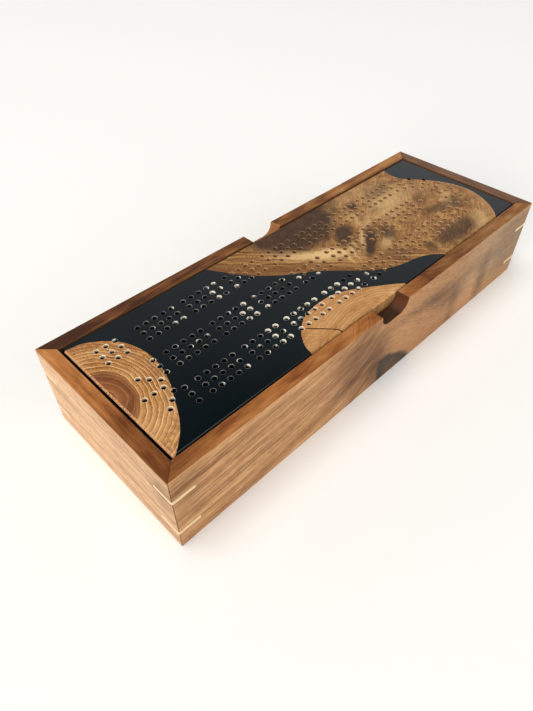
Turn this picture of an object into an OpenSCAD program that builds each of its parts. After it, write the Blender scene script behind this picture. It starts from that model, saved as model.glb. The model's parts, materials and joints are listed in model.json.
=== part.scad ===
// Cribbage board: a resin and timber board that lifts out of a mitred walnut box.
// Millimetres. X runs along the box, Z is up, and the origin is the centre of its base.

/* [Box] */
// Outside length of the box
box_l = 355; // [350:1:370]
// Outside width of the box
box_w = 125; // [122:1:135]
// Height of the box, from the table to the rim
box_h = 63.5; // [62:0.5:80]
// Thickness of the four walls
wall_t = 9.5; // [9:0.5:12]
// Radius of the upright outside corners
corner_r = 1; // [0.5:0.25:2]
// Softening of the long edges of the walls
edge_c = 0.5; // [0.2:0.1:0.8]

/* [Finger notches] */
// Width of a notch at the rim
notch_w = 27; // [22:1:34]
// Depth of a notch below the rim
notch_d = 9.5; // [9:0.5:14]
// Radius of the two bottom corners of a notch
notch_r = 8; // [4:1:9]
// Rounding where a notch meets the rim
notch_lip = 1.5; // [0.5:0.5:2.5]
// Distance of both notches from the middle of the box
notch_x = 1; // [-10:1:10]

/* [Corner keys] */
// Length of a key along each wall
key_leg = 15; // [10:1:17]
// Thickness of a key
key_t = 2.5; // [1.5:0.5:3.5]
// Height of the middle of the lower keys
key_low_z = 14.5; // [14:0.5:20]
// Height of the middle of the upper keys
key_high_z = 45; // [38:0.5:50]

/* [Floor and ledges] */
// Thickness of the bottom panel
panel_t = 6; // [4:0.5:6.5]
// Height of the underside of the bottom panel
panel_z = 4; // [3:0.5:4.5]
// Depth that the panel enters its groove
tongue = 4; // [2:0.5:5]
// Width of the ledges that carry the board
ledge_w = 6; // [4:1:7]
// Height of the ledge strips
ledge_h = 10; // [6:1:10]
// Thickness of the two dividers
divider_t = 6; // [4:1:8]
// Gap between the dividers and the underside of the ledges
divider_gap = 2.5; // [1:0.5:6]
// Length of the bay for the pegs
peg_bay_l = 53; // [48:1:60]

/* [Board] */
// Room for the board along the box, both ends together
play_l = 2.8; // [1.6:0.2:4]
// Room for the board across the box, both sides together
play_w = 1.6; // [0.6:0.2:3]
// Thickness of the board
board_t = 16; // [14:0.5:16.5]
// Drop from the rim to the top of the board
recess = 1; // [0.5:0.5:2]
// Distance that the board lies off centre, along the box
board_x = 0.6; // [-0.8:0.2:0.8]
// Distance that the board lies off centre, across the box
board_y = 0.3; // [-0.3:0.1:0.3]
// Softening of the board's top edges
board_c = 0.8; // [0.4:0.1:1.2]

/* [Peg holes] */
// Diameter of a peg hole
hole_d = 3.2; // [2.8:0.1:3.6]
// Depth of a peg hole
hole_depth = 10; // [8:0.5:12]
// Widening of a hole at its mouth
hole_c = 0.3; // [0.1:0.1:0.5]
// Distance between neighbouring holes
pitch = 6.35; // [6.2:0.05:6.35]
// Step from one group of five to the next
group_gap = 9.525; // [9:0.025:9.525]
// Distance between the middles of two lanes
lane_step = 28.575; // [28.4:0.025:28.6]
// Place of the first column of the lanes
first_x = -124.2; // [-125:0.1:-123]
// Place of the middle of the centre lane
middle_y = 1.6; // [0:0.1:2]

/* [Pegs] */
// Length of a peg
peg_l = 24; // [20:0.5:24]
// Diameter of the part of a peg that enters a hole
peg_d = 3; // [2.6:0.1:3.05]
// Distance between pegs in the rack
rack_pitch = 10.5; // [8:0.5:10.5]
// Width of the peg rack, along the box
rack_w = 24; // [22:1:28]
// Height of the peg rack
rack_h = 12; // [11:0.5:14]
// Depth of a socket in the rack
socket_depth = 9.5; // [8:0.5:10]

/* [Hidden] */
$fn = 48;
CUT = 1;                         // how far a cutter runs past the face it cuts
LANES = [1, 0, -1];
TRACKS = [-1, 0, 1];
GROUPS = 7;                      // groups of five holes along each lane
METALS = ["brass", "steel", "black"];
METAL_COLOURS = ["goldenrod", "silver", "dimgray"];
CORNERS = [["front_left", -1, -1], ["front_right", 1, -1], ["back_left", -1, 1], ["back_right", 1, 1]];
LEVELS = [["low", key_low_z], ["high", key_high_z]];

cavity_l = box_l - 2 * wall_t;
cavity_w = box_w - 2 * wall_t;
floor_z = panel_z + panel_t;
board_l = cavity_l - play_l;
board_w = cavity_w - play_w;
board_top = box_h - recess;
board_bottom = board_top - board_t;
dado = 3;                        // depth that a divider enters the walls
divider_h = board_bottom - ledge_h - divider_gap - floor_z;
divider_peg_x = peg_bay_l + (divider_t - cavity_l) / 2;
divider_mid_x = (divider_peg_x + divider_t / 2 + cavity_l / 2) / 2;
peg_x = 14 - cavity_l / 2;       // line of the pegs, clear of the ledge above
peg_z = floor_z + rack_h - socket_depth;
lane_end_x = first_x + (GROUPS - 1) * (4 * pitch + group_gap) + 4 * pitch;
FAR = box_l;                     // anywhere well outside the board

// Points on a smooth curve through p, from its second point to its last but one.
function smooth(p, n = 4) = [
    for (i = [1:len(p) - 3]) for (k = [0:n - 1]) let (t = k / n)
        0.5 * (2 * p[i] + (p[i + 1] - p[i - 1]) * t
            + (2 * p[i - 1] - 5 * p[i] + 4 * p[i + 1] - p[i + 2]) * t * t
            + (3 * p[i] - p[i - 1] - 3 * p[i + 1] + p[i + 2]) * t * t * t),
    p[len(p) - 2]];

// Outlines of the three pieces of timber, each closed by corners outside the board.
log_edge = concat(smooth([[-176, 50.4], [-168, 50], [-157, 48.5], [-149, 44.2], [-142, 38.2],
        [-136.5, 30], [-133.3, 20], [-132.3, 9], [-134, -2], [-137.5, -13], [-142.5, -23],
        [-148, -34], [-154, -42.5], [-161, -49.3], [-168, -55], [-173, -60]]),
    [[-FAR, -FAR], [-FAR, 50]]);
lens_edge = concat(smooth([[-66, -60], [-65.8, -54], [-64.8, -47], [-62, -41.5], [-57.5, -36],
        [-51, -30.6], [-44, -27], [-36, -25.2], [-27, -24.8], [-18, -25.6], [-10, -28.2],
        [-2, -32.3], [8, -38.7], [19, -46.2], [29, -54], [36, -60]]),
    [[29, -FAR], [-65.8, -FAR]]);
figured_left = smooth([[-65, 62], [-59.5, 54.5], [-54, 46.2], [-48.5, 37], [-43, 29], [-36, 21],
    [-28, 13.4], [-18, 6.2], [-9, 0.7], [-1, -6.2], [7, -13.8], [15, -21.3], [23, -28.3],
    [32, -34.2], [43, -38], [54, -40.2], [63, -44], [70, -49.5], [75, -55], [80, -60]]);
figured_right = smooth([[130, -62], [137, -55], [146, -47.8], [152.5, -40.2], [158, -31.2],
    [161.5, -21.2], [162.6, -10.2], [160.5, 0], [156.5, 9], [151, 17.8], [144, 26.2],
    [138.5, 33.8], [137, 41], [138.3, 48], [141, 55], [144, 62]]);
figured_edge = concat(figured_left, [[75, -FAR], [137, -FAR]], figured_right,
    [[141, FAR], [-59.5, FAR]]);
// All that lies to the right of each live edge of the figured slab.
beyond_left = concat(figured_left, [[75, -FAR], [FAR, -FAR], [FAR, FAR], [-59.5, FAR]]);
beyond_right = concat(figured_right, [[141, FAR], [FAR, FAR], [FAR, -FAR], [137, -FAR]]);
check_line = [[-54, -33.4], [-42, -46.3], [-39.6, -49.4], [-38.6, -53]];
check_w = 0.5;
check_depth = 2;

// Centres of all the peg holes.
lane_x = [for (g = [0:GROUPS - 1]) for (c = [0:4]) first_x + g * (4 * pitch + group_gap) + c * pitch];
lane_holes = [for (lane = LANES) for (x = lane_x) for (t = TRACKS)
    [x, middle_y + lane * lane_step + t * pitch]];
near_turn = [for (k = [0:4]) for (t = TRACKS) let (r = lane_step / 2 + t * pitch, a = 90 + 45 * k)
    [first_x - group_gap + r * cos(a), middle_y - lane_step / 2 + r * sin(a)]];
far_turn = [for (k = [0:9]) for (t = TRACKS) let (r = lane_step + t * pitch, a = 90 - 20 * k)
    [lane_end_x + group_gap + r * cos(a), middle_y + r * sin(a)]];
start_holes = [for (c = [0:2]) for (t = TRACKS)
    [first_x - 2.5 * pitch - c * pitch, middle_y + lane_step + t * pitch]];
game_hole = [[lane_end_x + group_gap, middle_y]];
holes = concat(lane_holes, near_turn, far_turn, start_holes, game_hole);

function peg_name(metal, i) = str("peg_", METALS[metal], "_", i + 1);
function key_name(level, corner) = str("key_", LEVELS[level][0], "_", CORNERS[corner][0]);

// A rectangle with round corners, centred on the origin.
module round_rect(l, w, r) {
    square([l - 2 * r, w], center = true);
    square([l, w - 2 * r], center = true);
    for (x = [-1, 1]) for (y = [-1, 1])
        translate([x * (l / 2 - r), y * (w / 2 - r)]) circle(r);
}

// Section through a wall: Y = 0 is its outside face, and the groove holds the bottom panel.
module wall_section() {
    polygon([[edge_c, 0], [wall_t, 0], [wall_t, panel_z], [wall_t - tongue - 0.5, panel_z],
        [wall_t - tongue - 0.5, floor_z], [wall_t, floor_z], [wall_t, box_h - edge_c],
        [wall_t - edge_c, box_h], [edge_c, box_h], [0, box_h - edge_c], [0, edge_c]]);
}

// A wall of length l with its outside face at Y = -w / 2, mitred at both ends.
module wall(l, w) {
    intersection() {
        translate([-l / 2, -w / 2, 0]) rotate([90, 0, 90]) linear_extrude(l) wall_section();
        linear_extrude(box_h) intersection() {
            polygon([[-l / 2, -w / 2], [l / 2, -w / 2],
                [l / 2 - wall_t, -w / 2 + wall_t], [-l / 2 + wall_t, -w / 2 + wall_t]]);
            round_rect(l, w, corner_r);
        }
    }
}

// The space of one corner key, square to the corner.
module key_space(corner, level) {
    x = CORNERS[corner][1] * box_l / 2;
    y = CORNERS[corner][2] * box_w / 2;
    translate([0, 0, LEVELS[level][1] - key_t / 2]) linear_extrude(key_t)
        polygon([[x, y], [x - sign(x) * key_leg, y], [x, y - sign(y) * key_leg]]);
}

module key(corner, level) {
    color("wheat") intersection() {
        key_space(corner, level);
        linear_extrude(box_h) round_rect(box_l, box_w, corner_r);
    }
}

module key_slots(corners) {
    for (c = corners) for (v = [0:1]) key_space(c, v);
}

// Half of a notch: Y = 0 is the rim, and the bottom corner and the lip are round.
module half_notch() {
    translate([0, notch_r - notch_d]) square([notch_w / 2, notch_d - notch_r + CUT]);
    translate([0, -notch_d]) square([notch_w / 2 - notch_r, notch_d]);
    translate([notch_w / 2 - notch_r, notch_r - notch_d]) circle(notch_r);
    difference() {
        translate([0, -notch_lip]) square([notch_w / 2 + notch_lip, notch_lip + CUT]);
        translate([notch_w / 2 + notch_lip, -notch_lip]) circle(notch_lip);
    }
}

// A notch long enough to cut either long wall.
module notch() {
    translate([notch_x, wall_t, box_h]) rotate([90, 0, 0]) linear_extrude(2 * wall_t) {
        half_notch();
        mirror([1, 0]) half_notch();
    }
}

module divider(x) {
    color("sienna") translate([x - divider_t / 2, -cavity_w / 2 - dado, floor_z])
        cube([divider_t, cavity_w + 2 * dado, divider_h]);
}

module long_wall_cuts(y) {
    translate([0, y, 0]) notch();
    divider(divider_peg_x);
    divider(divider_mid_x);
}

module side_front() {
    color("peru") difference() {
        wall(box_l, box_w);
        long_wall_cuts(-box_w / 2);
        key_slots([0, 1]);
    }
}

module side_back() {
    color("peru") difference() {
        rotate([0, 0, 180]) wall(box_l, box_w);
        long_wall_cuts(box_w / 2);
        key_slots([2, 3]);
    }
}

module end_left() {
    color("peru") difference() {
        rotate([0, 0, -90]) wall(box_w, box_l);
        key_slots([0, 2]);
    }
}

module end_right() {
    color("peru") difference() {
        rotate([0, 0, 90]) wall(box_w, box_l);
        key_slots([1, 3]);
    }
}

module bottom_panel() {
    color("burlywood") translate([0, 0, panel_z]) linear_extrude(panel_t)
        square([cavity_l + 2 * tongue, cavity_w + 2 * tongue], center = true);
}

module long_ledge(side) {
    color("sienna") translate([-cavity_l / 2, side > 0 ? cavity_w / 2 - ledge_w : -cavity_w / 2,
        board_bottom - ledge_h]) cube([cavity_l, ledge_w, ledge_h]);
}

module short_ledge(side) {
    color("sienna") translate([side > 0 ? cavity_l / 2 - ledge_w : -cavity_l / 2,
        ledge_w - cavity_w / 2, board_bottom - ledge_h])
        cube([ledge_w, cavity_w - 2 * ledge_w, ledge_h]);
}

module peg_rack() {
    color("saddlebrown") difference() {
        translate([-cavity_l / 2, -cavity_w / 2, floor_z]) cube([rack_w, cavity_w, rack_h]);
        for (i = [-4:4]) translate([peg_x, i * rack_pitch, peg_z])
            cylinder(h = socket_depth + CUT, d = hole_d);
    }
}

// A turned peg standing on the origin: a plain shank, a collar and a flared head.
module turned_peg() {
    r = peg_d / 2;
    rotate_extrude() polygon([[0, 0], [r - 0.4, 0], [r, 0.6], [r, 10.2], [2.5, 10.5], [2.5, 11.5],
        [1.7, 12.1], [1.6, 13.5], [2.8, peg_l - 4], [2.9, peg_l - 2], [2.3, peg_l - 0.6],
        [1.2, peg_l], [0, peg_l]]);
}

module peg(metal, i) {
    color(METAL_COLOURS[metal])
        translate([peg_x, (3 * metal + i - 4) * rack_pitch, peg_z]) turned_peg();
}

// Rectangle of half-width a, from b to t, with its upper corners cut off.
function cut_top(a, b, t) = [[-a, b], [a, b], [a, t - board_c], [a - board_c, t],
    [board_c - a, t], [-a, t - board_c]];

// The board before it is parted into resin and timber, with softened top edges.
module board_blank() {
    translate([board_x, board_y, 0]) intersection() {
        translate([0, board_w / 2, 0]) rotate([90, 0, 0]) linear_extrude(board_w)
            polygon(cut_top(board_l / 2, board_bottom, board_top));
        translate([-board_l / 2, 0, 0]) rotate([90, 0, 90]) linear_extrude(board_l)
            polygon(cut_top(board_w / 2, board_bottom, board_top));
    }
}

// Peg holes with a small countersink, between two distances along the board.
module drill(from_x, to_x, below_y = FAR) {
    r = hole_d / 2;
    for (h = holes)
        if (h.x > from_x && h.x < to_x && h.y < below_y)
            translate([h.x, h.y, board_top - hole_depth]) rotate_extrude()
                polygon([[0, 0], [r, 0], [r, hole_depth - hole_c], [r + hole_c + CUT, hole_depth + CUT],
                    [0, hole_depth + CUT]]);
}

module timber(edge) {
    translate([0, 0, board_bottom - CUT]) linear_extrude(board_t + 2 * CUT) polygon(edge);
}

// A fine drying check that runs from a peg hole to the edge of the lens slab.
module drying_check() {
    n = [check_w / 2, check_w / 2];
    translate([0, 0, board_top - check_depth]) linear_extrude(check_depth + CUT)
        polygon(concat([for (p = check_line) p - n],
            [for (i = [len(check_line) - 1:-1:0]) check_line[i] + n]));
}

module log_slice() {
    color("sandybrown") difference() {
        intersection() { board_blank(); timber(log_edge); }
        drill(-FAR, -128);
    }
}

module lens_slab() {
    color("tan") difference() {
        intersection() { board_blank(); timber(lens_edge); }
        drill(-70, 30, -20);
        drying_check();
    }
}

module figured_slab() {
    color("rosybrown") difference() {
        intersection() { board_blank(); timber(figured_edge); }
        drill(-65, FAR);
    }
}

module resin_left() {
    color("darkslategray") difference() {
        board_blank();
        timber(log_edge);
        timber(lens_edge);
        timber(beyond_left);
        drill(-FAR, 55);
    }
}

module resin_right() {
    color("darkslategray") difference() {
        intersection() { board_blank(); timber(beyond_right); }
        drill(130, FAR);
    }
}

side_front();
side_back();
end_left();
end_right();
bottom_panel();
long_ledge(-1);  // ledge_front
long_ledge(1);  // ledge_back
short_ledge(-1);  // ledge_left
short_ledge(1);  // ledge_right
divider(divider_peg_x);  // divider_pegs
divider(divider_mid_x);  // divider_middle
peg_rack();
resin_left();
resin_right();
log_slice();
lens_slab();
figured_slab();
for (v = [0:1]) for (c = [0:3])
    key(c, v);
for (m = [0:2]) for (i = [0:2])
    peg(m, i);
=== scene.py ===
"""A cribbage board of cast resin and natural-edge timber, resting in its mitred walnut box.

The box's pieces are the CAD's own, with their edges rounded. The board's pieces are cut from one plan, so
that resin and timber meet exactly, and every peg hole gets a rounded lip. All colour is procedural.
Plans and places are in millimetres, as in the CAD, and become metres when a mesh is made.
"""
import json
import math

import bmesh
import bpy
from mathutils import Matrix, Vector
from mathutils.geometry import delaunay_2d_cdt
from mathutils.kdtree import KDTree


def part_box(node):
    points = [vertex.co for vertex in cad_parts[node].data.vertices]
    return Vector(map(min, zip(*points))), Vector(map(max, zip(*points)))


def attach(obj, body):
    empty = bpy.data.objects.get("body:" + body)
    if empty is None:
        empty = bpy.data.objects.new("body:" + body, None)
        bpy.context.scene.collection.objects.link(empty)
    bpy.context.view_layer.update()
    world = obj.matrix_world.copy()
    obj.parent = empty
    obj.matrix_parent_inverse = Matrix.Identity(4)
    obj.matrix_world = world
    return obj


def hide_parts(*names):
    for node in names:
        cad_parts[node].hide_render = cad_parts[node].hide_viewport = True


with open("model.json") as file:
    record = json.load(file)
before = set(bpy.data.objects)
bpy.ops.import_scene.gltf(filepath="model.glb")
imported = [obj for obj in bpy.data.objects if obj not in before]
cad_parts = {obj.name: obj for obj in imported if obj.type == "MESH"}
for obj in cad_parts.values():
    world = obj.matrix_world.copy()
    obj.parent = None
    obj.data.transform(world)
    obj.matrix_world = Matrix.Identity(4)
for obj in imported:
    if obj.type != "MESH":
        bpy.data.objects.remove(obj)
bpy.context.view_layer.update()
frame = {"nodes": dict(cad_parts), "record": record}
MM = 0.001

# ---------------------------------------------------------------- sizes, as the CAD has them

HOLE_R, HOLE_LIP, HOLE_DEPTH = 1.6, 0.3, 10
HOLE_SIDES = 20
PITCH, GROUP_GAP, LANE_STEP = 6.35, 9.525, 28.575
FIRST_X, MIDDLE_Y = -124.2, 1.6
GROUPS = 7
BOARD_EDGE = 0.8
CHECK_WIDTH, CHECK_DEPTH = 0.5, 2
FAR = 400

# The board's nodes, each with its material slot and the looks of its surface and of its holes.
BOARD_LOOKS = {"resin_left": ("resin", "resin", "drilled_resin"),
               "resin_right": ("resin", "resin", "drilled_resin"),
               "log_slice": ("log_wood", "log_slice", "drilled_pale"),
               "lens_slab": ("slab_wood", "lens_slab", "drilled_pale"),
               "figured_slab": ("figured_wood", "figured_slab", "drilled_figured")}
METALS = ["brass", "steel", "black"]


def node_box(*nodes):
    """Lowest and highest corner of some CAD nodes together, in millimetres."""
    corners = [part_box(n) for n in nodes]
    low = Vector([min(c[0][i] for c in corners) for i in range(3)]) / MM
    high = Vector([max(c[1][i] for c in corners) for i in range(3)]) / MM
    return low, high


BOARD_LOW, BOARD_HIGH = node_box(*BOARD_LOOKS)
RIM_Z = node_box("side_front")[1].z
SIDES = node_box("side_front", "side_back")
MITRE = SIDES[1].x - SIDES[1].y

# ---------------------------------------------------------------- shader nodes as formulas


def rgb(r, g, b):
    """An sRGB colour, 0 to 255, as the linear colour that a socket takes."""
    def linear(v):
        v /= 255
        return v / 12.92 if v <= 0.04045 else ((v + 0.055) / 1.055) ** 2.4
    return (linear(r), linear(g), linear(b), 1)


def connect(tree, value, socket):
    if isinstance(value, Field):
        tree.links.new(value.socket, socket)
    else:
        socket.default_value = value


class Field:
    """A node's output. Python's operators join fields with Math nodes."""

    def __init__(self, tree, socket):
        self.tree = tree
        self.socket = socket

    def math(self, operation, *values):
        node = self.tree.nodes.new("ShaderNodeMath")
        node.operation = operation
        for value, socket in zip(values, node.inputs):
            connect(self.tree, value, socket)
        return Field(self.tree, node.outputs[0])

    def __add__(self, other):
        return self.math("ADD", self, other)

    __radd__ = __add__

    def __sub__(self, other):
        return self.math("SUBTRACT", self, other)

    def __rsub__(self, other):
        return self.math("SUBTRACT", other, self)

    def __mul__(self, other):
        return self.math("MULTIPLY", self, other)

    __rmul__ = __mul__

    def __truediv__(self, other):
        return self.math("DIVIDE", self, other)

    def __rtruediv__(self, other):
        return self.math("DIVIDE", other, self)

    def __pow__(self, other):
        return self.math("POWER", self, other)

    def between(self, low, high):
        """0 up to low, 1 from high, and smooth in between."""
        node = self.tree.nodes.new("ShaderNodeMapRange")
        node.interpolation_type = "SMOOTHSTEP"
        for value, socket in zip((self, low, high, 0, 1), node.inputs):
            connect(self.tree, value, socket)
        return Field(self.tree, node.outputs[0])

    def over(self, other):
        """The larger of two fields."""
        return self.math("MAXIMUM", self, other)

    def sine(self):
        return self.math("SINE", self)

    def fraction(self):
        return self.math("FRACT", self)

    def absolute(self):
        return self.math("ABSOLUTE", self)


class Paint:
    """A new material, and short calls for the nodes that it is made of."""

    def __init__(self, name):
        self.material = bpy.data.materials.new(name)
        self.material.use_nodes = True
        self.tree = self.material.node_tree
        self.tree.nodes.clear()

    def add(self, kind, inputs, output=0, **settings):
        node = self.tree.nodes.new("ShaderNode" + kind)
        for key, value in settings.items():
            setattr(node, key, value)
        for key, value in inputs.items():
            connect(self.tree, value, node.inputs[key])
        return Field(self.tree, node.outputs[output])

    def place(self):
        """The point's x, y and z, in millimetres."""
        position = self.add("TexCoord", {}, "Object")
        split = self.tree.nodes.new("ShaderNodeSeparateXYZ")
        self.tree.links.new(position.socket, split.inputs[0])
        return [Field(self.tree, output) / MM for output in split.outputs]

    def at(self, x, y, z=0):
        return self.add("CombineXYZ", {0: x, 1: y, 2: z})

    def noise(self, x, y, z=0, detail=3, roughness=0.5, distortion=0):
        inputs = {"Vector": self.at(x, y, z), "Scale": 1, "Detail": detail, "Roughness": roughness,
                  "Distortion": distortion}
        return self.add("TexNoise", inputs)

    def spot(self, point, x, y, length, width, angle, soft=0.3):
        """1 inside an ellipse that lies at an angle, and 0 beyond its soft edge."""
        inputs = {"Vector": point, "Location": (x, y, 0), "Scale": (length, width, 1),
                  "Rotation": (0, 0, math.radians(angle))}
        local = self.add("Mapping", inputs, vector_type="TEXTURE")
        reach = self.add("VectorMath", {0: local}, "Value", operation="LENGTH")
        return 1 - reach.between(1 - soft, 1 + soft)

    def ramp(self, field, *stops):
        """A colour for each level of a field: stops are (level, colour)."""
        node = self.tree.nodes.new("ShaderNodeValToRGB")
        connect(self.tree, field, node.inputs[0])
        elements = node.color_ramp.elements
        while len(elements) < len(stops):
            elements.new(0.5)
        for element, (level, colour) in zip(elements, stops):
            element.position = level
            element.color = colour
        return Field(self.tree, node.outputs[0])

    def blend(self, field, first, second, mode="MIX"):
        """The first colour where the field is 0, the second where it is 1."""
        node = self.tree.nodes.new("ShaderNodeMix")
        node.data_type = "RGBA"
        node.blend_type = mode
        for value, socket in zip((field, first, second), (node.inputs[0], *node.inputs[6:8])):
            connect(self.tree, value, socket)
        return Field(self.tree, node.outputs[2])

    def finish(self, colour, roughness, height=None, relief=0.05, **constants):
        """Closes the material. relief is the depth in millimetres of a height of 1."""
        shader = self.tree.nodes.new("ShaderNodeBsdfPrincipled")
        connect(self.tree, colour, shader.inputs["Base Color"])
        connect(self.tree, roughness, shader.inputs["Roughness"])
        for key, value in constants.items():
            shader.inputs[key.replace("_", " ").title().replace("Ior", "IOR")].default_value = value
        if height is not None:
            bump = {"Height": height, "Strength": 1, "Distance": relief * MM}
            connect(self.tree, self.add("Bump", bump), shader.inputs["Normal"])
        output = self.tree.nodes.new("ShaderNodeOutputMaterial")
        self.tree.links.new(shader.outputs[0], output.inputs[0])
        return self.material


# ---------------------------------------------------------------- timber


def timber_grain(p, along, across, seed):
    """Broad streaks, bands, fine lines and open pores of long-grained timber, each from 0 to 1."""
    streaks = p.noise(along / 210, across / 7, seed, detail=2)
    bands = p.noise(along / 95, across / 1.5, seed + 5, detail=3, roughness=0.6)
    lines = p.noise(along / 14, across / 0.5, seed + 7, detail=2)
    pores = p.noise(along / 8, across / 0.42, seed + 9, detail=1).between(0.54, 0.68)
    return streaks, bands, lines, pores


# Features of the large slab: each is an ellipse, as centre, length, width and angle, and a
# strength. SMOKE is dark, GOLD and STREAKS are light, and HEART is the dark heartwood by the back notch.
SMOKE = [((41, 13, 13, 6.5, 38), 0.9), ((47, -6, 18, 4, 38), 1), ((66, -6, 9, 6, 45), 0.75),
         ((75, 34, 6, 4, 50), 0.9), ((62, 46, 16, 8, 30), 0.4), ((104, -41, 24, 8, 2), 0.75),
         ((73, -39, 6, 4, 60), 0.55), ((126, -16, 22, 6, -18), 0.5), ((140, -16, 8, 5, 35), 0.55),
         ((108, 35, 16, 6, 5), 0.4), ((122, 4, 9, 5, 20), 0.35), ((48, -26, 12, 6, -25), 0.28),
         ((57, -2, 6, 4, 40), 0.4)]
GOLD = [((6, 12, 23, 5.5, -42), 0.8), ((17, 4, 12, 5, -25), 0.85), ((96, 16, 20, 12, 20), 0.45),
        ((78, -44, 8, 2.2, 78), 0.25), ((116, 22, 24, 10, -12), 0.25), ((62, 20, 9, 4, 60), 0.4),
        ((139, -10, 12, 4, 42), 0.4), ((130, -45, 13, 5, 30), 0.5), ((92, 44, 22, 8, 0), 0.25)]
STREAKS = [((23, -4, 10, 1.2, 74), 0.6), ((29, -5, 9, 1.1, 66), 0.5), ((35, -3, 8, 1, 58), 0.4),
           ((45, -1, 13, 1.9, 46), 0.55), ((57, -13, 10, 3, 25), 0.45), ((66, 12, 12, 3, 32), 0.25)]
HEART = (20, 54, 38, 37, 0)
# Tints that a stain multiplies the timber by, in linear light. A number above 1 makes it lighter.
DUSK, SMOKE_AND_SHADE = rgb(170, 154, 146), rgb(136, 128, 126)
PALER, GREYER = (1.24, 1.27, 1.34, 1), (0.85, 1.1, 1.5, 1)
# Stains on the front wall, the left end and their rims: an ellipse about (along, z), a strength and a tint.
# Over the right half of the front wall and its rim, the grey-brown tints are partly smoky figure and partly
# painted shade that darkens that end of the wall.
FRONT_STAINS = [((-27, 34, 24, 34, 20), 0.9, DUSK), ((-10, 18, 9, 22, 0), 0.7, DUSK),
                ((-130, 27, 48, 2, 1), 0.55, DUSK), ((-50, 22, 32, 3, 14), 0.5, DUSK),
                ((-150, 52, 30, 1.5, -2), 0.35, DUSK), ((-95, 10, 40, 1.6, 3), 0.3, DUSK),
                ((38, 42, 32, 4.5, -8), 0.45, SMOKE_AND_SHADE), ((68, 34, 26, 9, -20), 0.6, SMOKE_AND_SHADE),
                ((83, 14, 6, 20, 0), 0.45, SMOKE_AND_SHADE), ((122, 18, 7, 26, 3), 0.55, SMOKE_AND_SHADE),
                ((104, 40, 28, 7, -4), 0.3, SMOKE_AND_SHADE), ((64, 32, 44, 60, 0), 0.22, DUSK),
                ((160, 38, 30, 28, -8), 0.5, SMOKE_AND_SHADE), ((100, 16, 13, 18, 0), 0.6, PALER),
                ((140, 44, 50, 28, -8), 0.8, GREYER), ((-168, 48, 10, 18, 0), 0.4, DUSK)]
END_STAINS = [((46, 32, 48, 60, 0), 0.75, PALER), ((-55, 46, 9, 12, 0), 0.75, DUSK),
              ((-10, 50, 40, 1.6, 1), 0.4, DUSK), ((10, 20, 46, 1.4, -2), 0.35, DUSK)]
FRONT_RIM = [((-168, 0, 16, 9, 0), 0.6, DUSK), ((60, 0, 34, 9, 0), 0.5, SMOKE_AND_SHADE),
             ((40, 0, 2.5, 9, 0), 0.5, SMOKE_AND_SHADE), ((125, 0, 60, 9, 0), 0.9, GREYER)]
END_RIM = [((-34, 0, 22, 9, 0), 0.4, DUSK), ((24, 0, 32, 9, 0), 0.9, PALER)]
KNOT_HEIGHT = 24


def walnut(name, lengthwise, seed, face, edge, swirl=False, paler=0, stains=(), rim_stains=()):
    """Oiled walnut. face and edge are (dark, middle, light) colours of the wide faces and of the rim.

    paler is how much lighter the rim gets along each metre of its length, swirl bends the grain over the knot,
    and stains and rim_stains tint the wide faces and the rim.
    """
    p = Paint(name)
    x, y, z = p.place()
    along, depth = (x, y) if lengthwise == "x" else (y, x)
    drift = p.noise(along / 150, z / 90, seed, detail=1) * 10
    across = z + drift + depth * 0.8
    if swirl:
        across = knot_flow(x, z, across)
    streaks, bands, lines, pores = timber_grain(p, along, across, seed)
    mottle = p.noise(along / 24, z / 15 + depth / 7, seed + 2, detail=3)
    tone = streaks * 0.38 + bands * 0.48 + lines * 0.48 + mottle * 0.16 - 0.25
    if swirl:
        tone = tone + (0.48 - tone) * x.between(-24, 8) * 0.7
    wide = p.ramp(tone, (0.34, face[0]), (0.5, face[1]), (0.64, face[2]))
    rim_tone = mottle * 0.7 + bands * 0.34 + lines * 0.22 - 0.13 + along * (paler * MM)
    narrow = p.ramp(rim_tone, (0.34, edge[0]), (0.53, edge[1]), (0.72, edge[2]))
    wide = stained(p, along, z, wide, stains)
    narrow = stained(p, along, 0, narrow, rim_stains)
    if swirl:
        wide = knot_colours(p, x, z, wide, lines)
    # The rim's top takes the edge colours: partly its edge grain's own colour, partly painted light, since the
    # top takes the light differently from the wide faces.
    rim = z.between(RIM_Z - 0.6, RIM_Z - 0.1)
    colour = p.blend(rim, wide, narrow)
    colour = p.blend(pores * (0.58 - rim * 0.34), colour, rgb(150, 120, 98), "MULTIPLY")
    # Inside the notches, end grain colour. In the front notch it runs to near black-red at the left: partly
    # the oiled end grain's own colour, partly painted shade.
    cut = (1 - (x - 1).absolute().between(14.4, 15)) * (1 - y.absolute().between(62.1, 62.45))
    cut = cut * z.between(45, 46) * (1 - z.between(RIM_Z - 0.5, RIM_Z - 0.1))
    notch_grain_and_shade = p.ramp(x.between(5, 14) + lines * 0.2, (0.15, rgb(24, 4, 2)), (0.6, rgb(56, 20, 10)),
                  (1, rgb(74, 32, 16))) if swirl else rgb(150, 96, 54)
    colour = p.blend(cut * 0.92, colour, notch_grain_and_shade)
    # Painted shade: surfaces inside the box's walls, down in the gap around the board, are darkened.
    shell = (y.absolute() - 53).over(x.absolute() - 168)
    colour = p.blend((1 - shell.between(0.05, 0.3)) * 0.8, colour, rgb(70, 40, 22))
    seam = 1 - (x.absolute() - y.absolute() - MITRE).absolute().between(0.12, 0.5)
    colour = p.blend(seam * 0.75, colour, rgb(58, 34, 22))
    height = lines * 0.5 + bands * 0.3 - pores * 0.7
    return p.finish(colour, 0.42 + lines * 0.16, height, relief=0.03, specular_ior_level=0.16)


def knot_flow(x, z, across):
    """Bends the grain of the front wall up over its knot."""
    offset = x + 2
    reach = 30 + offset.between(0, 1) * 20
    return across - 37 / (1 + (offset / reach) ** 2)


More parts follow.
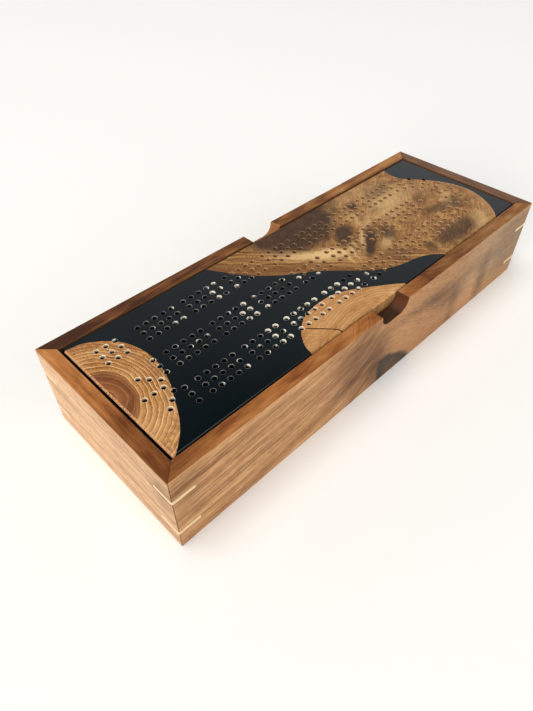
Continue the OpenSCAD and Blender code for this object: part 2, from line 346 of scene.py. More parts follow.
def stained(p, along, up, colour, stains):
    """Darkens the timber inside each stain, whose edges wander with the grain."""
    wobble = p.noise(along / 9, up / 7, 3, detail=3) - 0.5
    flow = p.noise(along / 30, up / 6, 8, detail=3)
    point = p.at(along + wobble * 11, up + wobble * 6)
    for spot, strength, tint in stains:
        mask = p.spot(point, *spot, soft=0.75) * (strength * (0.45 + flow))
        colour = p.blend(mask, colour, tint, "MULTIPLY")
    return colour


def knot_colours(p, x, z, wide, lines):
    """Lays the knot over the front wall: a fin with a dark border."""
    wobble = p.noise(x / 9, z / 7, 3, detail=3) - 0.5
    along = ((x + 9) / 41).over(0)
    up = z / KNOT_HEIGHT
    fin = (along ** 1.4 + up ** 1.4) ** 0.714
    left = (1 - (x + 10 - (KNOT_HEIGHT - z) * 0.14) / 22).over(0)
    reach = (fin ** 5 + left ** 5) ** 0.2 + wobble * 0.16
    inner = p.ramp(reach + (lines - 0.5) * 0.3 + wobble * 0.5, (0.2, rgb(112, 74, 44)),
                   (0.55, rgb(88, 62, 40)), (0.78, rgb(54, 50, 40)), (0.94, rgb(34, 40, 38)))
    return p.blend((1 - reach.between(0.9, 1.08)) * 0.92, wide, inner)


def painted_gap_shade(p, z, colour):
    """Blackens the log's outer sides below its top edge: painted shade for the dark gap between the board and
    the box's walls.
    """
    above = z.between(BOARD_HIGH.z - 1, BOARD_HIGH.z - 0.75)
    gap_shade = z.between(BOARD_LOW.z + 0.1, BOARD_LOW.z + 0.4) * (1 - above)
    return p.blend(gap_shade, colour, rgb(12, 14, 15))


def log_wood(name):
    """End grain of part of a log: rings about a pith beyond the board's end, closer near the bark."""
    p = Paint(name)
    x, y, z = p.place()
    east = x - BOARD_LOW.x + 5
    north = (y - 2) / 1.34
    reach = (east * east + north * north) ** 0.5
    turn = north.math("ARCTAN2", north, east)
    sway = p.noise(x / 24, y / 24, 1, detail=2) - 0.5
    shake = p.noise(x / 1.7, y / 1.7, 4, detail=2) - 0.5
    ring = reach + sway * 6 + shake * 0.6
    phase = (ring ** 1.5) * 0.052
    count = phase.math("FLOOR", phase)
    part = phase.fraction()
    line = (1 - part.between(0.02, 0.2)).over(part.between(0.93, 1))
    strength = p.noise(count * 3.7, turn * 1.6, 2, detail=2).between(0.38, 0.64)
    rays = p.noise(turn * 60, reach / 6, 6, detail=2)
    specks = p.noise(x / 0.8, y / 0.8, 8, detail=2)
    patches = p.noise(x / 15, y / 15, 8, detail=3)
    fibre = p.noise(ring / 0.8, turn * 4, 3, detail=3)
    tone = patches * 0.3 + rays * 0.22 + specks * 0.3 + fibre * 0.3 - part * 0.1 - 0.02
    base = p.ramp(tone, (0.37, rgb(128, 74, 32)), (0.48, rgb(182, 122, 64)), (0.58, rgb(212, 158, 98)))
    base = p.blend((1 - north.between(-30, -8)) * 0.55, base, rgb(226, 172, 112))
    colour = p.blend(line * strength * (0.45 + fibre * 0.8), base, rgb(250, 216, 160))
    arcs = p.noise(ring / 1.1, turn * 1.6, 5, detail=3, roughness=0.6)
    heart = p.ramp(ring / 20 + (specks - 0.5) * 0.1 + (arcs - 0.5) * 0.55, (0.3, rgb(152, 92, 50)),
                   (0.55, rgb(136, 78, 40)), (0.74, rgb(106, 56, 28)), (0.84, rgb(134, 76, 38)),
                   (0.96, rgb(172, 112, 58)))
    colour = p.blend((1 - ring.between(15, 19.5)) * 0.94, colour, heart)
    colour = p.blend(line * (1 - ring.between(14, 18)) * 0.3, colour, rgb(204, 148, 104))
    late = part.between(0.5, 0.86) * (1 - part.between(0.9, 0.97))
    colour = p.blend(late * (fibre * 0.75), colour, rgb(122, 70, 32))
    bark = ring.between(30, 35.5) * p.noise(turn * 11, reach / 2.5, 7, detail=3).between(0.4, 0.6)
    colour = p.blend(bark * 0.6, colour, rgb(134, 84, 46))
    # Painted highlight: a light, beaded band along the chamfer of the log's cut left edge.
    edge_highlight = 1 - x.between(BOARD_LOW.x + 0.7, BOARD_LOW.x + 1.6)
    highlight_beads = p.noise(x / 0.7, y / 1.1, 2, detail=2).between(0.42, 0.56)
    colour = p.blend(edge_highlight * (0.25 + highlight_beads * 0.7), colour, rgb(240, 182, 132))
    height = line * 0.3 + rays * 0.4 + specks * 0.4
    # The log's sides get painted shade below the top edge.
    return p.finish(painted_gap_shade(p, z, colour), 0.34, height, relief=0.015, specular_ior_level=0.3)


def lens_wood(name):
    """A slab cut beside a branch: arcs that follow its live edge, and fine rays at its left end."""
    p = Paint(name)
    x, y, z = p.place()
    east = (x + 24) / 1.9
    north = y + 64
    reach = (east * east + north * north) ** 0.5
    turn = north.math("ARCTAN2", north, east)
    sway = p.noise(x / 34, y / 20, 2, detail=3) - 0.5
    ring = reach + sway * 7
    broad = p.noise(ring / 7, turn * 1.2, 1, detail=3)
    fine = p.noise(ring / 0.8, turn * 6, 3, detail=3)
    rays = p.noise(turn * 50, ring / 5, 5, detail=2)
    specks = p.noise(x / 0.9, y / 0.9, 6, detail=2)
    left = 1 - x.between(-60, -30)
    tone = broad * 0.4 + fine * 0.3 + specks * 0.22 + rays * left * 0.3 - left * 0.19
    colour = p.ramp(tone, (0.33, rgb(158, 102, 52)), (0.44, rgb(194, 140, 84)), (0.54, rgb(212, 162, 106)),
                    (0.64, rgb(232, 190, 136)))
    part = (ring / 2.1 + broad * 1.5).fraction()
    late = part.between(0.55, 0.9) * (1 - part.between(0.94, 1))
    colour = p.blend(late * (0.12 + fine * 0.5) * (1 - left * 0.6), colour, rgb(142, 88, 44))
    colour = p.blend(ring.between(33, 40) * 0.35, colour, rgb(204, 138, 88))
    point = p.at(x, y)
    for spot in ((-47.4, -40.6, 8.6, 0.5, -46), (-40.8, -47.9, 2.4, 0.5, -52), (-39.1, -51.2, 2.6, 0.5, -77)):
        colour = p.blend(p.spot(point, *spot, soft=0.3) * 0.8, colour, rgb(62, 36, 20))
    # Painted shade: the check's walls and floor darken to near black below the top.
    drop = BOARD_HIGH.z - z
    crack_shade = (drop.between(0.1, 0.6) * (1 - drop.between(2.2, 2.6))
             * y.between(BOARD_LOW.y + 1, BOARD_LOW.y + 1.3))
    colour = p.blend(crack_shade, colour, rgb(26, 16, 10))
    return p.finish(colour, 0.34, fine + rays * left, relief=0.015, specular_ior_level=0.3)


def figured_wood(name):
    """Crotch-figured slab: dark heartwood, a golden band by its edge, and clouds over the rest."""
    p = Paint(name)
    x, y, z = p.place()
    warp_a = p.noise(x / 12, y / 12, 1, detail=4, roughness=0.6) - 0.5
    warp_b = p.noise(x / 12, y / 12, 9, detail=4, roughness=0.6) - 0.5
    rag_a = p.noise(x / 4, y / 4, 3, detail=3, roughness=0.6) - 0.5
    rag_b = p.noise(x / 4, y / 4, 13, detail=3, roughness=0.6) - 0.5
    point = p.at(x + warp_a * 8 + rag_a * 5, y + warp_b * 8 + rag_b * 5)
    inward = (x + y + 8) * 0.707 + warp_a * 6
    down = (x - y) * 0.707
    band = p.noise(inward / 1.7, down / 40, 3, detail=3, roughness=0.65)
    clouds = p.noise(x / 9 + warp_b * 1.6, y / 7 + warp_a * 1.6, 5, detail=5, roughness=0.66)
    feathers = p.noise((x - y * 1.3) / 2.4 + warp_a * 5, (x + y) / 22, 6, detail=4, roughness=0.6)
    hair = p.noise((x - y) / 0.8 + warp_a * 9, (x + y) / 6, 2, detail=3)
    specks = p.noise(x / 0.9, y / 0.9, 4, detail=2)
    right = inward.between(18, 34)
    tone = band * (1 - right) + (clouds * 0.58 + feathers * 0.42) * right
    tone = tone + (hair - 0.5) * 0.32 + (specks - 0.5) * 0.22
    colour = p.ramp(tone, (0.34, rgb(96, 60, 30)), (0.45, rgb(136, 92, 50)), (0.55, rgb(166, 120, 68)),
                    (0.66, rgb(200, 154, 94)))
    fringe = 1 - inward.between(2, 12)
    colour = p.blend(fringe * 0.75, colour, p.ramp(hair, (0.3, rgb(96, 58, 28)), (0.7, rgb(138, 90, 48))))
    grain = 0.05 + feathers * 0.9 + hair * 0.8
    for spot, strength in GOLD:
        colour = p.blend(p.spot(point, *spot, soft=0.8) * (strength * grain), colour, rgb(234, 194, 134))
    fine_point = p.at(x + warp_a * 5 + rag_a, y + warp_b * 5 + rag_b)
    for spot, strength in STREAKS:
        colour = p.blend(p.spot(fine_point, *spot, soft=0.6) * (strength * (0.4 + hair)), colour,
                         rgb(238, 200, 142))
    for spot, strength in SMOKE:
        colour = p.blend(p.spot(point, *spot, soft=0.5) * (strength * (1.45 - grain * 0.4)), colour,
                         rgb(70, 48, 33))
    heart = p.spot(p.at(x + warp_a * 9, y + warp_b * 9), *HEART, soft=0.17)
    heart_tone = p.ramp(clouds * 0.5 + hair * 0.5, (0.36, rgb(42, 28, 20)), (0.62, rgb(78, 54, 38)))
    colour = p.blend(heart * 0.93, colour, heart_tone)
    rim = p.spot(point, 96, 4, 66, 66, 0, soft=0.06)
    colour = p.blend((1 - rim) * x.between(120, 140) * 0.4, colour, rgb(196, 150, 98))
    height = hair * 0.6 + feathers * 0.4
    return p.finish(colour, 0.32, height, relief=0.015, specular_ior_level=0.2)


def drilled_timber(name, lip, wall, depth, heart=0):
    """Holes in timber: a pale lip, partly raw wood and partly painted glint, and a wall that turns dark at a
    depth in millimetres, painted shade deep in the hole.

    heart is how much darker both are over the dark heart of the figured slab.
    """
    p = Paint(name)
    x, y, z = p.place()
    drop = BOARD_HIGH.z - z
    fibre = p.noise(x / 0.5, y / 0.5, z / 0.7, detail=1)
    # Patches where the lip takes the wall's colour, breaking up its painted glint.
    lip_patches = p.noise(x / 1.5, y / 1.5, 7, detail=1).between(0.4, 0.56)
    bright = p.blend(lip_patches * 0.75, lip, wall)
    colour = p.blend(drop.between(0.25, 0.6) * (0.6 + fibre * 0.6), bright, wall)
    colour = p.blend(p.spot(p.at(x, y), *HEART, soft=0.17) * heart, colour, rgb(74, 52, 38))
    # Painted shade: the wall turns near black below the given depth.
    colour = p.blend(drop.between(depth - 0.5, depth + 0.6), colour, rgb(28, 17, 11))
    return p.finish(colour, 0.3, fibre, relief=0.02, specular_ior_level=0.4)


def maple(name):
    p = Paint(name)
    x, y, z = p.place()
    lines = p.noise((x + y) / 9, (x - y) / 9 + z / 0.5, 2, detail=2)
    flecks = p.noise((x + y) / 2, z / 0.3, 4, detail=1).between(0.6, 0.75)
    colour = p.ramp(lines, (0.3, rgb(226, 190, 138)), (0.7, rgb(246, 220, 172)))
    colour = p.blend(flecks * 0.3, colour, rgb(196, 152, 100))
    return p.finish(colour, 0.42, lines, relief=0.02)


def birch(name):
    """Rotary-cut birch ply: pale, with wide loops and short flecks."""
    p = Paint(name)
    x, y, z = p.place()
    loops = p.noise(x / 130, y / 20 + p.noise(x / 90, y / 40, 2, detail=1) * 3, 1, detail=3, distortion=0.6)
    rings = ((loops * 40).sine() + 1) / 2
    flecks = p.noise(x / 5, y / 0.6, 3, detail=1).between(0.62, 0.74)
    colour = p.ramp(rings * 0.4 + loops * 0.6, (0.1, rgb(206, 168, 120)), (0.9, rgb(224, 190, 144)))
    colour = p.blend(flecks * 0.4, colour, rgb(166, 124, 82))
    plies = ((z * 5.2).sine() + 1) / 2
    edge_band = x.absolute().between(169, 170)
    colour = p.blend(edge_band * plies * 0.5, colour, rgb(120, 84, 54))
    return p.finish(colour, 0.55, rings + flecks, relief=0.02)


# ---------------------------------------------------------------- resin and metal


def resin(name):
    """Polished casting resin, all but black, with faint waves, fine scratches and a little dust."""
    p = Paint(name)
    x, y, z = p.place()
    cloud = p.noise(x / 45, y / 45, 3, detail=2)
    colour = p.ramp(cloud, (0.3, rgb(6, 15, 17)), (0.7, rgb(12, 20, 24)))
    dust = p.noise(x / 0.4, y / 0.4, z / 0.4, detail=0).between(0.86, 0.9)
    colour = p.blend(dust * 0.3, colour, rgb(150, 150, 146))
    scratches = p.noise(x / 9 + y / 0.25, y / 9 - x / 0.4, 5, detail=1)
    waves = p.noise(x / 38, y / 38, 7, detail=1)
    return p.finish(colour, 0.1 + scratches * 0.06 + dust * 0.3, waves, relief=0.04, ior=1.52)


def drilled_resin(name):
    """Holes in the resin: a grey lip, a painted highlight where the edge catches light, and a wall that is
    pale where the resin is thin over timber, then near black deeper down, a painted shade.
    """
    p = Paint(name)
    x, y, z = p.place()
    drop = BOARD_HIGH.z - z
    lens = ((x + 20) ** 2 + (y + 75) ** 2) ** 0.5
    width = 13 - x.between(-25, 0) * 10
    near_lens = (1 - (lens - 52).absolute().between(width, width + 3)) * x.between(-76, -66)
    thin_band = x.between(-75, -71) * (1 - x.between(-57, -50)) * (1 - y.between(14, 40) * 0.5)
    near_slab = ((x + y + 8) * 0.707).between(-12, -6) * 0.35
    chance = p.noise(x / 4.5, y / 4.5, 3, detail=0)
    pale = (chance + near_lens.over(thin_band).over(near_slab) * 0.3).between(0.64, 0.76)
    # The grey lip is a painted highlight of the hole's edge.
    lip = (1 - drop.between(0.25, 0.5)) * (1 - x.between(-60, -10) * 0.6)
    dark = p.blend(lip, rgb(9, 12, 13), p.ramp(chance, (0.35, rgb(58, 64, 64)), (0.65, rgb(128, 128, 120))))
    # Pale near the top of the wall, then painted shade: near black deeper down.
    frosted_then_shaded = p.blend(drop.between(1.1, 2), rgb(240, 232, 212), rgb(34, 32, 28))
    return p.finish(p.blend(pale, dark, frosted_then_shaded), 0.34, p.noise(x / 0.5, y / 0.5, z / 0.2), relief=0.03)


def metal(name, light, dark, roughness):
    """Turned metal: fine rings left by the lathe, and a little handling wear."""
    p = Paint(name)
    x, y, z = p.place()
    turning = p.noise(x / 9, y / 9, z / 0.06, detail=2)
    wear = p.noise(x / 1.5, y / 1.5, z / 1.5, detail=3)
    colour = p.ramp(wear * 0.6 + turning * 0.4, (0.3, dark), (0.65, light))
    return p.finish(colour, roughness + wear * 0.16, turning, relief=0.006, metallic=1)


def black_metal(name):
    p = Paint(name)
    x, y, z = p.place()
    wear = p.noise(x / 1.2, y / 1.2, z / 1.2, detail=3)
    turning = p.noise(x / 9, y / 9, z / 0.06, detail=2)
    colour = p.ramp(wear, (0.4, rgb(26, 26, 28)), (0.75, rgb(58, 58, 62)))
    return p.finish(colour, 0.3 + wear * 0.2, turning, relief=0.006, specular_ior_level=0.6)


# The front wall's face colours are the plain ones made lighter: painted light. The left end's pale face
# colours, paler and less saturated, are painted light and sheen where strong light falls on that end.
FACE = (rgb(132, 88, 52), rgb(184, 134, 86), rgb(212, 166, 116))
FACE_FRONT_LIT = (rgb(144, 97, 58), rgb(198, 146, 96), rgb(226, 180, 128))
EDGE = (rgb(118, 62, 22), rgb(164, 102, 50), rgb(194, 130, 74))
EDGE_BACK = (rgb(70, 38, 18), rgb(130, 80, 42), rgb(180, 126, 70))
EDGE_FAR = (rgb(92, 64, 46), rgb(118, 84, 60), rgb(146, 108, 76))
PALE_LIT = (rgb(164, 122, 88), rgb(206, 163, 122), rgb(226, 188, 146))
INNER = (rgb(88, 54, 32), rgb(124, 80, 50), rgb(156, 106, 70))

MATERIALS = {
    "side_front": walnut("walnut_front", "x", 1, FACE_FRONT_LIT, EDGE, swirl=True, stains=FRONT_STAINS,
                         rim_stains=FRONT_RIM),
    "side_back": walnut("walnut_back", "x", 12, FACE, EDGE_BACK, paler=0.9),
    "end_left": walnut("walnut_left", "y", 23, PALE_LIT, EDGE, paler=2.5, stains=END_STAINS,
                       rim_stains=END_RIM),
    "end_right": walnut("walnut_right", "y", 34, FACE, EDGE_FAR),
    "inside": walnut("walnut_inside", "x", 45, INNER, INNER),
    "bottom_panel": birch("birch_ply"),
    "key": maple("maple_key"),
    "resin": resin("casting_resin"),
    "drilled_resin": drilled_resin("drilled_resin"),
    "drilled_pale": drilled_timber("drilled_pale_timber", rgb(244, 230, 204), rgb(214, 182, 140), 1.5),
    "drilled_figured": drilled_timber("drilled_figured_timber", rgb(190, 150, 108), rgb(150, 112, 74), 3.2,
                                      heart=0.6),
    "log_slice": log_wood("log_end_grain"),
    "lens_slab": lens_wood("lens_timber"),
    "figured_slab": figured_wood("figured_timber"),
    "brass": metal("turned_brass", rgb(226, 184, 104), rgb(178, 130, 62), 0.18),
    "steel": metal("turned_steel", rgb(206, 206, 208), rgb(142, 142, 146), 0.2),
    "black": black_metal("blackened_steel"),
}

# ---------------------------------------------------------------- the board's plan


def smooth(path, steps=4):
    """Points on a smooth curve through a path, from its second point to its last but one."""
    found = []
    for a, b, c, d in zip(path, path[1:], path[2:], path[3:]):
        for k in range(steps):
            t = k / steps
            found.append(tuple(0.5 * (2 * q + (r - p) * t + (2 * p - 5 * q + 4 * r - s) * t * t
                                      + (3 * q - p - 3 * r + s) * t ** 3)
                               for p, q, r, s in zip(a, b, c, d)))
    return found + [path[-2]]


LOG_EDGE = smooth([(-176, 50.4), (-168, 50), (-157, 48.5), (-149, 44.2), (-142, 38.2), (-136.5, 30),
                   (-133.3, 20), (-132.3, 9), (-134, -2), (-137.5, -13), (-142.5, -23), (-148, -34),
                   (-154, -42.5), (-161, -49.3), (-168, -55), (-173, -60)])
LENS_EDGE = smooth([(-66, -60), (-65.8, -54), (-64.8, -47), (-62, -41.5), (-57.5, -36), (-51, -30.6),
                    (-44, -27), (-36, -25.2), (-27, -24.8), (-18, -25.6), (-10, -28.2), (-2, -32.3),
                    (8, -38.7), (19, -46.2), (29, -54), (36, -60)])
FIGURED_LEFT = smooth([(-65, 62), (-59.5, 54.5), (-54, 46.2), (-48.5, 37), (-43, 29), (-36, 21),
                       (-28, 13.4), (-18, 6.2), (-9, 0.7), (-1, -6.2), (7, -13.8), (15, -21.3),
                       (23, -28.3), (32, -34.2), (43, -38), (54, -40.2), (63, -44), (70, -49.5),
                       (75, -55), (80, -60)])
FIGURED_RIGHT = smooth([(130, -62), (137, -55), (146, -47.8), (152.5, -40.2), (158, -31.2),
                        (161.5, -21.2), (162.6, -10.2), (160.5, 0), (156.5, 9), (151, 17.8),
                        (144, 26.2), (138.5, 33.8), (137, 41), (138.3, 48), (141, 55), (144, 62)])
OUTLINES = {
    "log_slice": [(-FAR, 50), *LOG_EDGE, (-FAR, -FAR)],
    "lens_slab": [*LENS_EDGE, (29, -FAR), (-65.8, -FAR)],
    "figured_slab": [*FIGURED_LEFT, (75, -FAR), (137, -FAR), *FIGURED_RIGHT, (141, FAR), (-59.5, FAR)],
    "resin_right": [*FIGURED_RIGHT, (141, FAR), (FAR, FAR), (FAR, -FAR), (137, -FAR)],
}
CHECK_LINE = [(-52.9, -34.9), (-42, -46.3), (-39.6, -49.4), (-38.6, -54)]


def peg_holes():
    """Centres of all the peg holes: three lanes, two turns, the start rows and the game hole."""
    rows = (-PITCH, 0, PITCH)
    group = 4 * PITCH + GROUP_GAP
    lane_x = [FIRST_X + g * group + c * PITCH for g in range(GROUPS) for c in range(5)]
    turn_x = FIRST_X + GROUPS * group
    found = [(x, MIDDLE_Y + lane * LANE_STEP + row) for lane in (1, 0, -1) for x in lane_x for row in rows]
    for k in range(5):
        angle = math.radians(90 + 45 * k)
        for row in rows:
            r = LANE_STEP / 2 + row
            found.append((FIRST_X - GROUP_GAP + r * math.cos(angle),
                          MIDDLE_Y - LANE_STEP / 2 + r * math.sin(angle)))
    for k in range(10):
        angle = math.radians(90 - 20 * k)
        for row in rows:
            r = LANE_STEP + row
            found.append((turn_x + r * math.cos(angle), MIDDLE_Y + r * math.sin(angle)))
    start_x = [FIRST_X - (2.5 + c) * PITCH for c in range(3)]
    found += [(x, MIDDLE_Y + LANE_STEP + row) for x in start_x for row in rows]
    return found + [(turn_x, MIDDLE_Y)]


HOLES = peg_holes()


def inside(point, polygon):
    x, y = point
    odd = False
    for (x0, y0), (x1, y1) in zip(polygon, polygon[1:] + polygon[:1]):
        if (y0 > y) != (y1 > y) and x < x0 + (y - y0) * (x1 - x0) / (y1 - y0):
            odd = not odd
    return odd


def check_outline():
    half = CHECK_WIDTH / 2
    return ([(x - half, y - half) for x, y in CHECK_LINE]
            + [(x + half, y + half) for x, y in reversed(CHECK_LINE)])


def board_plan():
    """Cuts the board's plan into triangles that follow every outline and hole."""
    points, edges = [], []

    def draw(path):
        first = len(points)
        points.extend(Vector(p[:2]) for p in path)
        edges.extend((first + i, first + (i + 1) % len(path)) for i in range(len(path)))

    corners = {}
    for inset in (0, BOARD_EDGE):
        x0, y0 = BOARD_LOW.x + inset, BOARD_LOW.y + inset
        x1, y1 = BOARD_HIGH.x - inset, BOARD_HIGH.y - inset
        corners[inset] = [(x0, y0), (x1, y0), (x1, y1), (x0, y1)]
        draw(corners[inset])
    for outer, inner in zip(corners[0], corners[BOARD_EDGE]):
        draw([outer, inner])
    for name in ("log_slice", "lens_slab", "figured_slab"):
        draw(OUTLINES[name])
    draw(check_outline())
    ring = HOLE_R + HOLE_LIP
    for x, y in HOLES:
        draw([(x + ring * math.cos(math.tau * k / HOLE_SIDES), y + ring * math.sin(math.tau * k / HOLE_SIDES))
              for k in range(HOLE_SIDES)])
    places, _, faces, *_ = delaunay_2d_cdt(points, edges, [], 0, 1e-4)
    return places, [face for face in faces if on_board(middle(places, face))]


def middle(places, face):
    return sum((places[v] for v in face), Vector((0, 0))) / len(face)


def on_board(point):
    return BOARD_LOW.x < point.x < BOARD_HIGH.x and BOARD_LOW.y < point.y < BOARD_HIGH.y


def piece_at(point):
    for name, outline in OUTLINES.items():
        if inside(point, outline):
            return name
    return "resin_left"


# Levels that a point of the plan can have: the top, the lip of a hole, the floor of a pit, the underside.
TOP, LIP, NECK, FLOOR, BASE = range(5)
LIP_TURN = 1 - math.sqrt(0.5)


class BoardCutter:
    """Turns the plan into one closed mesh for each piece of the board."""

    def __init__(self):
        self.places, faces = board_plan()
        finder = KDTree(len(HOLES))
        for i, (x, y) in enumerate(HOLES):
            finder.insert((x, y, 0), i)
        finder.balance()
        check = check_outline()
        self.faces = []
        self.pit_of = {}
        for face in faces:
            centre = middle(self.places, face)
            _, hole, reach = finder.find((*centre, 0))
            pit = None
            if reach < HOLE_R + HOLE_LIP:
                pit = hole
            elif inside(centre, check):
                pit = "check"
            self.faces.append((tuple(face), piece_at(centre), pit))
            if pit is not None:
                self.pit_of.update({v: pit for v in face})
        self.across = {(f[i], f[(i + 1) % 3]): (piece, pit)
                       for f, piece, pit in self.faces for i in range(3)}

    def steps(self, vertex):
        """The levels between the top and the underside at a vertex on the edge of a pit."""
        pit = self.pit_of.get(vertex)
        if pit is None:
            return []
        return [FLOOR] if pit == "check" else [LIP, NECK, FLOOR]

    def point(self, vertex, level):
        x, y = self.places[vertex]
        if level == BASE:
            return Vector((x, y, BOARD_LOW.z))
        centre = (BOARD_LOW + BOARD_HIGH) / 2
        half = (BOARD_HIGH - BOARD_LOW) / 2
        slope = max(0, abs(x - centre.x) - half.x + BOARD_EDGE, abs(y - centre.y) - half.y + BOARD_EDGE)
        top = BOARD_HIGH.z
        if level == TOP:
            return Vector((x, y, top - slope))
        pit = self.pit_of[vertex]
        if pit == "check":
            return Vector((x, y, top - CHECK_DEPTH))
        full = HOLE_R + HOLE_LIP
        radius = HOLE_R + (HOLE_LIP * LIP_TURN if level == LIP else 0)
        drop = {LIP: HOLE_LIP * LIP_TURN, NECK: HOLE_LIP, FLOOR: HOLE_DEPTH}[level]
        hub = Vector(HOLES[pit])
        x, y = hub + (Vector((x, y)) - hub) * radius / full
        return Vector((x, y, top - drop))

    def mesh(self, piece):
        """A closed mesh of one piece. Material 0 is its surface, and material 1 the inside of its holes."""
        bm = bmesh.new()
        made = {}

        def vert(key):
            if key not in made:
                made[key] = bm.verts.new(self.point(*key) * MM)
            return made[key]

        def add(keys, drilled=False, round_face=False):
            face = bm.faces.new([vert(k) for k in keys])
            face.material_index = int(drilled)
            face.smooth = round_face

        for face, owner, pit in self.faces:
            if owner != piece:
                continue
            level = TOP if pit is None else FLOOR
            add([(v, level) for v in face], drilled=pit not in (None, "check"))
            add([(v, BASE) for v in reversed(face)])
            for a, b in zip(face, face[1:] + face[:1]):
                other_piece, other_pit = self.across.get((b, a), (None, None))
                if pit is None and other_pit is not None:
                    levels = [TOP, *self.steps(a)]
                    for high, low in zip(levels, levels[1:]):
                        hole = other_pit != "check"
                        add([(b, high), (a, high), (a, low), (b, low)], hole, hole)
                elif other_piece != piece:
                    down = [(a, s) for s in self.steps(a)] if pit is None else []
                    up = [(b, s) for s in reversed(self.steps(b))] if pit is None else []
                    add([(b, level), (a, level), *down, (a, BASE), (b, BASE), *up])
        mesh = bpy.data.meshes.new(piece)
        bm.to_mesh(mesh)
        bm.free()
        return mesh


# ---------------------------------------------------------------- pieces


def piece(name, mesh, materials, body, node, slot):
    """Puts a mesh in the scene as a finished piece that stands for a CAD node."""
    thing = bpy.data.objects.new(name, mesh)
    bpy.context.scene.collection.objects.link(thing)
    for material in materials:
        mesh.materials.append(material)
    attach(thing, body)
    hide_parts(node)
    return thing


def rounded(node, width):
    """The mesh of a CAD node with its facets merged and its sharp edges rounded."""
    mesh = frame["nodes"][node].data.copy()
    mesh.materials.clear()
    bm = bmesh.new()
    bm.from_mesh(mesh)
    bmesh.ops.remove_doubles(bm, verts=bm.verts, dist=1e-6)
    bmesh.ops.dissolve_limit(bm, angle_limit=math.radians(0.5), verts=bm.verts, edges=bm.edges)
    sharp = [e for e in bm.edges if len(e.link_faces) == 2 and e.calc_face_angle() > math.radians(30)]
    bmesh.ops.bevel(bm, geom=sharp, offset=width * MM, segments=2, profile=0.5, affect="EDGES",
                    clamp_overlap=True)
    for face in bm.faces:
        face.smooth = True
    bm.to_mesh(mesh)
    bm.free()
    return mesh


def weigh_normals(thing):
    """Keeps wide faces flat to the eye while the rounded edges shade smoothly."""
    modifier = thing.modifiers.new("flat faces", "WEIGHTED_NORMAL")
    modifier.weight = 100


def make_box():
    inside_nodes = ["ledge_front", "ledge_back", "ledge_left", "ledge_right", "divider_pegs",
                    "divider_middle", "peg_rack"]
    for node in frame["record"]["behaviour"]["bodies"]["box"]:
        if node in inside_nodes:
            look, slot = "inside", "walnut_inside"
        elif node.startswith("key_"):
            look, slot = "key", "maple"
        elif node == "bottom_panel":
            look, slot = node, "birch_ply"
        else:
            look, slot = node, "walnut"
        width = 0.05 if look == "key" else 0.25
        thing = piece(node + "_finished", rounded(node, width), [MATERIALS[look]], "box", node, slot)
        weigh_normals(thing)


def make_board():
    cutter = BoardCutter()
    for node, (slot, *looks) in BOARD_LOOKS.items():
        piece(node + "_finished", cutter.mesh(node), [MATERIALS[k] for k in looks], "board", node, slot)


def peg_profile(length):
    """Radius and height up a turned peg, rounded at its tip, collar and head."""
    return [(0, 0), (0.9, 0.05), (1.3, 0.3), (1.5, 0.8), (1.5, 10.2), (1.9, 10.35), (2.35, 10.5),
            (2.5, 10.75), (2.5, 11.25), (2.35, 11.5), (1.9, 11.9), (1.7, 12.3), (1.6, 13.5),
            (1.75, 15.5), (2.1, 17.6), (2.6, length - 4.4), (2.82, length - 3.8), (2.9, length - 3),
            (2.9, length - 2), (2.75, length - 1.3), (2.3, length - 0.6), (1.6, length - 0.15),
            (0.8, length - 0.02), (0, length)]


def make_pegs():
    sides = 32
    for metal_name in METALS:
        for number in (1, 2, 3):
            node = f"peg_{metal_name}_{number}"
            low, high = node_box(node)
            axis = (low + high) / 2
            bm = bmesh.new()
            rings = []
            for radius, height in peg_profile(high.z - low.z):
                count = sides if radius else 1
                rings.append([bm.verts.new(Vector((axis.x + radius * math.cos(math.tau * k / count),
                                                   axis.y + radius * math.sin(math.tau * k / count),
                                                   low.z + height)) * MM) for k in range(count)])
            for lower, upper in zip(rings, rings[1:]):
                for k in range(sides):
                    ends = [lower[k % len(lower)], lower[(k + 1) % len(lower)],
                            upper[(k + 1) % len(upper)], upper[k % len(upper)]]
                    bm.faces.new(list(dict.fromkeys(ends))).smooth = True
            mesh = bpy.data.meshes.new(node)
            bm.to_mesh(mesh)
            bm.free()
            slot = "black_metal" if metal_name == "black" else metal_name
            piece(node + "_finished", mesh, [MATERIALS[metal_name]], node, node, slot)


# ---------------------------------------------------------------- camera, floor and light


def make_camera():
    """Stands where a person at the near corner of the table looks down along the board."""
    data = bpy.data.cameras.new("camera")
    data.sensor_width = 36
    data.lens = 27.89
    data.clip_start = 0.01
    camera = bpy.data.objects.new("camera", data)
    bpy.context.scene.collection.objects.link(camera)
    stand = Vector((-239.0, -192.3, 287.2)) * MM
    aim = Vector((-86.0, -35.4, 63.5)) * MM
    tilt = Matrix.Rotation(math.radians(-0.33), 4, "Z")
    camera.matrix_world = (Matrix.Translation(stand)
                           @ (aim - stand).to_track_quat("-Z", "Y").to_matrix().to_4x4() @ tilt)
    bpy.context.scene.camera = camera


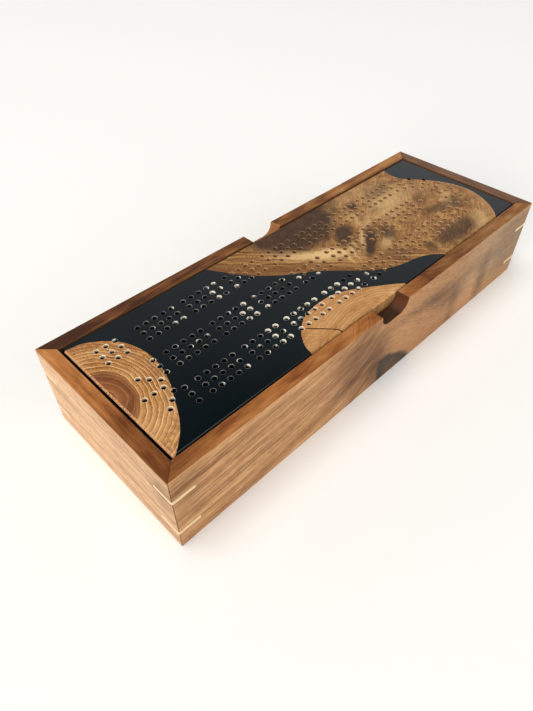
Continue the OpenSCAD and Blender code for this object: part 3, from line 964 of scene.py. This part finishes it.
def make_floor():
    bpy.ops.mesh.primitive_plane_add(size=10)
    floor = bpy.context.object
    floor.name = "floor"
    p = Paint("pale_floor")
    floor.data.materials.append(p.finish(rgb(254, 253, 249), 0.9, specular_ior_level=0.1))


def area_light(name, place, aim, size, power, colour):
    data = bpy.data.lights.new(name, "AREA")
    data.size = size
    data.energy = power
    data.color = colour
    light = bpy.data.objects.new(name, data)
    bpy.context.scene.collection.objects.link(light)
    place = Vector(place)
    light.matrix_world = (Matrix.Translation(place)
                          @ (Vector(aim) - place).to_track_quat("-Z", "Y").to_matrix().to_4x4())


def make_sky():
    """A room that is bright near the horizon and dim overhead, so that the resin stays dark."""
    world = bpy.data.worlds.new("room")
    bpy.context.scene.world = world
    world.use_nodes = True
    tree = world.node_tree
    tree.nodes.clear()
    direction = tree.nodes.new("ShaderNodeTexCoord")
    split = tree.nodes.new("ShaderNodeSeparateXYZ")
    tree.links.new(direction.outputs["Generated"], split.inputs[0])
    ramp = tree.nodes.new("ShaderNodeValToRGB")
    tree.links.new(split.outputs["Z"], ramp.inputs[0])
    stops = [(0, rgb(240, 240, 240)), (0.3, rgb(222, 222, 222)), (0.46, rgb(196, 197, 198)),
             (0.62, rgb(160, 163, 166)), (0.69, rgb(128, 132, 136)), (0.78, rgb(44, 50, 52))]
    while len(ramp.color_ramp.elements) < len(stops):
        ramp.color_ramp.elements.new(0.5)
    for element, (level, colour) in zip(ramp.color_ramp.elements, stops):
        element.position = level
        element.color = colour
    background = tree.nodes.new("ShaderNodeBackground")
    tree.links.new(ramp.outputs[0], background.inputs[0])
    background.inputs[1].default_value = 0.9
    output = tree.nodes.new("ShaderNodeOutputWorld")
    tree.links.new(background.outputs[0], output.inputs[0])


def make_lights():
    area_light("window", (-6.2, -1.8, 2.5), (0, 0, 0.02), 3.4, 235, (1, 0.98, 0.96))
    area_light("overhead", (-1.2, 0.6, 7), (0, 0, 0), 4.4, 320, (1, 0.99, 0.98))
    area_light("front", (1.2, -6, 3), (0, 0, 0.03), 4, 45, (1, 0.99, 0.98))


make_camera()
make_box()
make_board()
make_pegs()
make_floor()
make_sky()
make_lights()
bpy.context.scene.view_settings.view_transform = "Standard"
